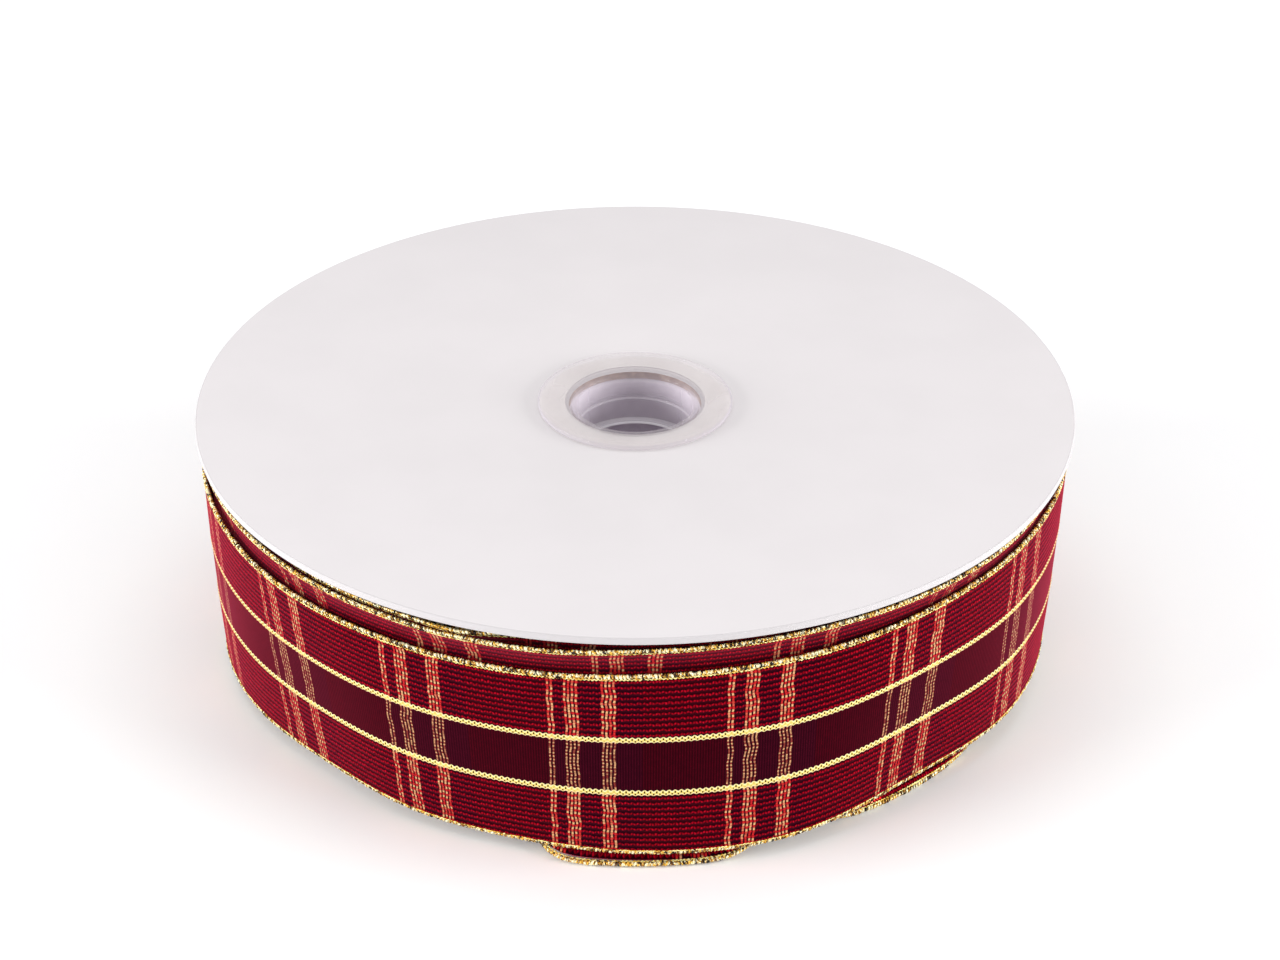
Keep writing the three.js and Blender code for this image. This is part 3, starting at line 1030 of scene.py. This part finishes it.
def plug_section():
    """Half section of the lower plug, its face at z = 0: dished rim, a mouth that curves in, and sleeve."""
    low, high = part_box("lower_hub_plug")
    rim = high.x / MM
    length = (high.z - low.z) / MM
    rim_thickness, dish_depth, mouth_depth = 0.9, 0.35, 1.6
    bore, sleeve, mouth, dish = 11.25, 12.45, 13.4, 17.4
    bore_step, step_depth, end_lip = 0.3, 6.2, 0.6
    section = []
    for turn in np.linspace(math.pi / 2, 0, 9):
        z = mouth_depth - (mouth_depth - dish_depth) * math.cos(turn)
        section.append((mouth - (mouth - bore) * math.sin(turn), z))
    # A fine groove where the mouth meets the rim's face.
    groove = dish_depth + 0.12
    section += [(mouth + 0.05, groove), (mouth + 0.14, groove), (mouth + 0.2, dish_depth)]
    for share in np.linspace(0, 1, 7)[1:]:
        rise = share * share * (3 - 2 * share)
        section.append((mouth + share * (dish - mouth), dish_depth * (1 - rise)))
    outside = [
        (dish + 0.1, 0.0),
        (rim, 0.0, 0.35),
        (rim, rim_thickness, 0.15),
        (sleeve, rim_thickness, 0.12),
        (sleeve, length, 0.35),
        (bore - bore_step - end_lip, length, 0.1),
        (bore - bore_step, length - end_lip, 0.1),
        (bore - bore_step, step_depth, 0.08),
        (bore, step_depth - bore_step, 0.08),
        (bore, mouth_depth + 0.1),
    ]
    rounded = rounded_section(outside, 0.0, 5)
    return section + rounded


def add_plugs():
    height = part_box("upper_hub_plug")[1].z / MM
    section = plug_section()
    turned_over = [(radius, height - z) for radius, z in section]
    for node, outline in (("lower_hub_plug", section), ("upper_hub_plug", turned_over)):
        plug = lathe(f"{node}_moulding", outline, 192)
        place(plug, "wound_core", "clear_plastic", PLASTIC, node)


def add_core():
    """Spirally wound card tube: a shallow groove marks the seam of its outer ply."""
    low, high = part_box("core_tube")
    outer = high.x / MM
    bottom, top = low.z / MM, high.z / MM
    heights = np.linspace(bottom, top, 60)
    sides = 96
    turn = np.linspace(0, 2 * math.pi, sides, endpoint=False)
    rings = []
    for z in heights:
        turns_off = np.abs((turn / (2 * math.pi) - z / CORE_SEAM_RISE + 0.5) % 1.0 - 0.5)
        offset = turns_off * 2 * math.pi * outer
        radius = outer - CORE_SEAM_DEPTH * np.exp(-((offset / 0.8) ** 2))
        rings.append(np.stack([np.cos(turn) * radius, np.sin(turn) * radius, np.full(sides, z)], 1))
    for z in heights[::-1]:
        radius = CORE_BORE
        rings.append(np.stack([np.cos(turn) * radius, np.sin(turn) * radius, np.full(sides, z)], 1))
    loops = np.array(rings)
    uv = np.zeros((len(loops) + 1, sides + 1, 2))
    uv[..., 0] = np.linspace(0, 360, sides + 1)
    uv[..., 1] = np.arange(len(loops) + 1)[:, None]
    points, quads, corners = skinned_loops(loops, uv, along_closed=True)
    tube = millimetre_mesh("core_tube_wall", points, quads.tolist(), corners)
    place(tube, "wound_core", "core_card", CORE_CARD, "core_tube")


def add_tape():
    """The strip that holds the ribbon's inner end to the core."""
    low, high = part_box("inner_end_tape")
    bottom, top = low.z / MM, high.z / MM
    inside, outside = TAPE_RADII
    turn = np.linspace(math.radians(TAPE_AZIMUTHS[0]), math.radians(TAPE_AZIMUTHS[1]), 40)
    corners = [(inside, bottom), (outside, bottom), (outside, top), (inside, top)]
    section = np.array(rounded_section(corners, 0.1, 2))
    loops = np.empty((len(turn), len(section), 3))
    loops[..., 0] = np.cos(turn)[:, None] * section[:, 0]
    loops[..., 1] = np.sin(turn)[:, None] * section[:, 0]
    loops[..., 2] = section[:, 1]
    uv = np.zeros((len(turn), len(section) + 1, 2))
    uv[..., 0] = (turn * 15.5)[:, None]
    points, quads, texture = skinned_loops(loops, uv)
    strip = millimetre_mesh("inner_end_tape_strip", points, quads.tolist(), texture)
    place(strip, "wound_core", "tape", TAPE, "inner_end_tape")


# ---------------------------------------------------------------- stage, light and camera


def add_floor():
    half = 3.0
    mesh = bpy.data.meshes.new("floor")
    corners = [(-half, -half, 0), (half, -half, 0), (half, half, 0), (-half, half, 0)]
    mesh.from_pydata(corners, [], [(0, 1, 2, 3)])
    floor = bpy.data.objects.new("floor", mesh)
    bpy.context.scene.collection.objects.link(floor)
    mesh.materials.append(floor_material())


def add_light(name, place_at, aim, size, power):
    lamp = bpy.data.lights.new(name, "AREA")
    lamp.shape = "RECTANGLE"
    lamp.size, lamp.size_y = size
    lamp.energy = power
    holder = bpy.data.objects.new(name, lamp)
    holder.location = place_at
    holder.rotation_euler = (Vector(aim) - Vector(place_at)).to_track_quat("-Z", "Y").to_euler()
    bpy.context.scene.collection.objects.link(holder)


def add_lighting():
    scene = bpy.context.scene
    world = bpy.data.worlds.new("studio")
    world.use_nodes = True
    world.node_tree.nodes["Background"].inputs[0].default_value = (0.98, 0.985, 1, 1)
    world.node_tree.nodes["Background"].inputs[1].default_value = 0.52
    scene.world = world
    scene.view_settings.view_transform = "Standard"
    add_light("left softbox", (-1.1, -0.35, 0.3), (0, 0, 0.02), (0.9, 0.5), 15.0)
    add_light("right softbox", (1.1, -0.35, 0.3), (0, 0, 0.02), (0.9, 0.5), 14.5)
    add_light("top softbox", (0.0, 0.2, 1.4), (0, 0, 0), (1.2, 1.0), 4.4)


def add_camera():
    elevation = math.radians(CAMERA_ELEVATION)
    back = Vector((0, -math.cos(elevation), math.sin(elevation)))
    up = Vector((0, math.sin(elevation), math.cos(elevation)))
    flange_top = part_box("upper_flange")[1].z
    aim = Vector((CAMERA_AIM_RIGHT * MM, 0, flange_top)) - up * CAMERA_AIM_DOWN * MM
    data = bpy.data.cameras.new("camera")
    data.lens = LENS
    data.sensor_width = SENSOR_WIDTH
    data.clip_start, data.clip_end = 0.01, 20
    camera = bpy.data.objects.new("camera", data)
    camera.location = aim + back * CAMERA_DISTANCE * MM
    camera.rotation_euler = (math.pi / 2 - elevation, 0, 0)
    bpy.context.scene.collection.objects.link(camera)
    bpy.context.scene.camera = camera


add_camera()
add_core()
add_plugs()
add_flange("upper_flange", "upper_disc")
add_flange("lower_flange", "lower_disc")
add_tape()
add_inner_turns()
add_slack_turn(4, "fourth_turn", COARSE_ACROSS, 5)
add_slack_turn(3, "third_turn", COARSE_ACROSS, 6)
add_slack_turn(2, "second_turn", COARSE_ACROSS, 6)
add_slack_turn(1, "outer_turn", FINE_ACROSS, 7)
add_free_end()
add_floor()
add_lighting()
